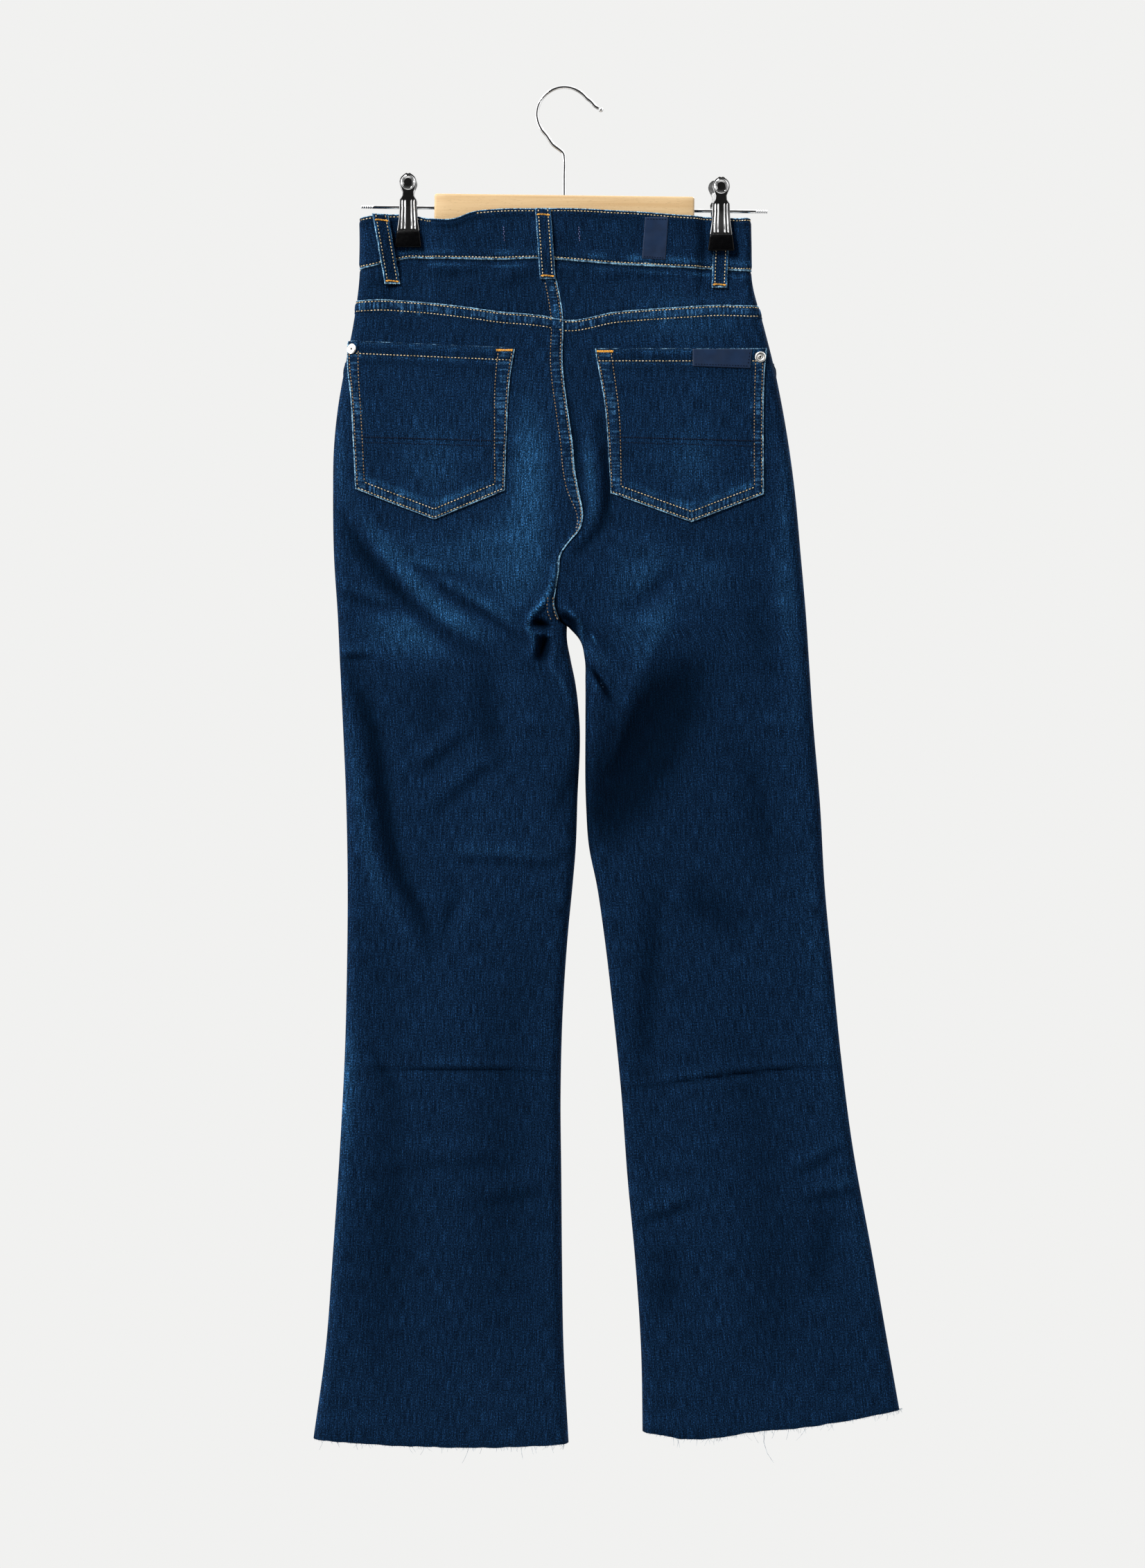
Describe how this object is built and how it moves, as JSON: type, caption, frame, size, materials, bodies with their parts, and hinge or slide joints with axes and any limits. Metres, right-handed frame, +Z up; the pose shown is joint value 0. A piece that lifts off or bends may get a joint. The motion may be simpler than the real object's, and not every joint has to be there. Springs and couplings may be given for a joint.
{
  "type": "blue jeans on a clip hanger",
  "caption": "High-waist blue denim jeans with slim thighs and a mild flare, hung open-hemmed by the waistband from a wooden and chrome clip hanger.",
  "frame": {"origin": "the inner top of the hanger's hook, where a rail carries it", "axes": "+Z up, -Y towards the viewer who sees the back of the jeans, -X towards the wearer's left leg"},
  "size_m": [0.5032, 0.0337, 1.1684],
  "materials": {
    "denim": "dark indigo stretch denim with pale slubs and worn seam edges",
    "navy_trim": "smooth navy woven strip",
    "silver_metal": "aged silver",
    "chrome": "polished",
    "beech": "pale satin beech",
    "black_rubber": "satin black"
  },
  "bodies": {
    "root": {"back_left": "denim", "back_right": "denim", "front_left": "denim", "front_right": "denim", "yoke_left": "denim", "yoke_right": "denim", "waistband_left": "denim", "waistband_right": "denim", "belt_loop_centre_back": "denim", "belt_loop_back_left": "denim", "belt_loop_back_right": "denim", "belt_loop_front_left": "denim", "belt_loop_front_right": "denim", "back_pocket_left": "denim", "back_pocket_right": "denim", "pocket_facing_left": "denim", "pocket_facing_right": "denim", "pocket_tab": "navy_trim", "waist_patch": "navy_trim", "pocket_rivet_left": "silver_metal", "pocket_rivet_right": "silver_metal", "waist_button": "silver_metal", "hanger_hook": "chrome", "hook_ball": "chrome", "hanger_rod": "chrome", "hanger_bar": "beech", "clip_left_back_plate": "chrome", "clip_left_front_plate": "chrome", "clip_left_spring": "chrome", "clip_left_back_pad": "black_rubber", "clip_left_front_pad": "black_rubber", "clip_right_back_plate": "chrome", "clip_right_front_plate": "chrome", "clip_right_spring": "chrome", "clip_right_back_pad": "black_rubber", "clip_right_front_pad": "black_rubber"}
  },
  "joints": []
}
